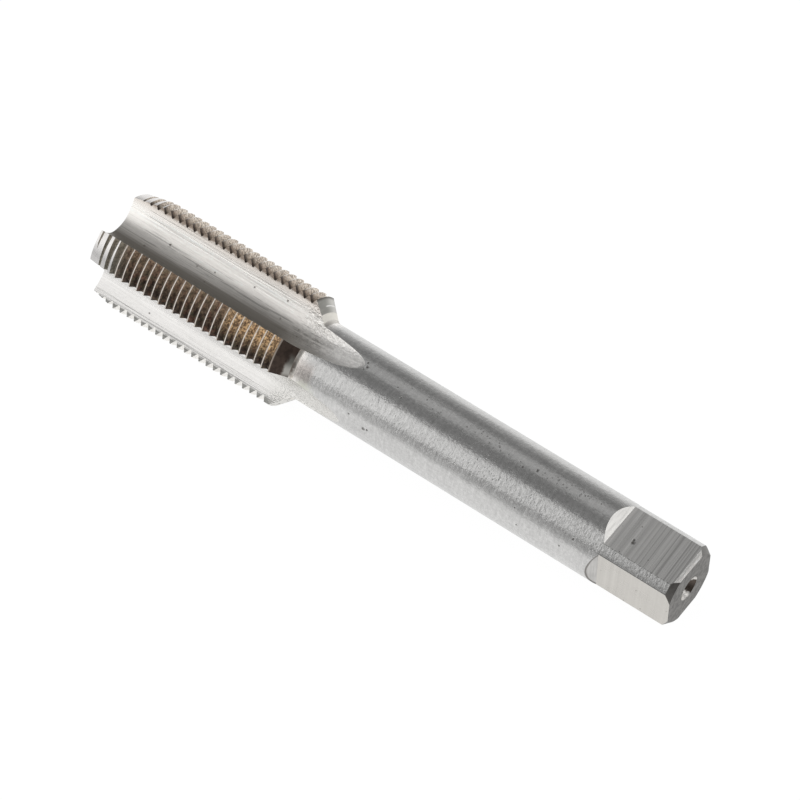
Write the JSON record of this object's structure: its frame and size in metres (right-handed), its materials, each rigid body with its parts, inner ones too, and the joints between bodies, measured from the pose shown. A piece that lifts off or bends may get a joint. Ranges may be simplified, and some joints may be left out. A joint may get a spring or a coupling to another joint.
{
  "type": "hand tap",
  "caption": "Straight-flute hand tap with threaded lands, a ground cylindrical shank and a driving square.",
  "frame": {"origin": "middle of the shank's axis in the driving square's end face", "axes": "+X along the axis towards the cutting end, +Z square to one driving flat"},
  "size_m": [0.112, 0.0179, 0.018],
  "materials": {
    "ground_steel": "ground high-speed steel, with brown rust stain in the thread"
  },
  "bodies": {
    "root": {"tap": "ground_steel"}
  },
  "joints": []
}
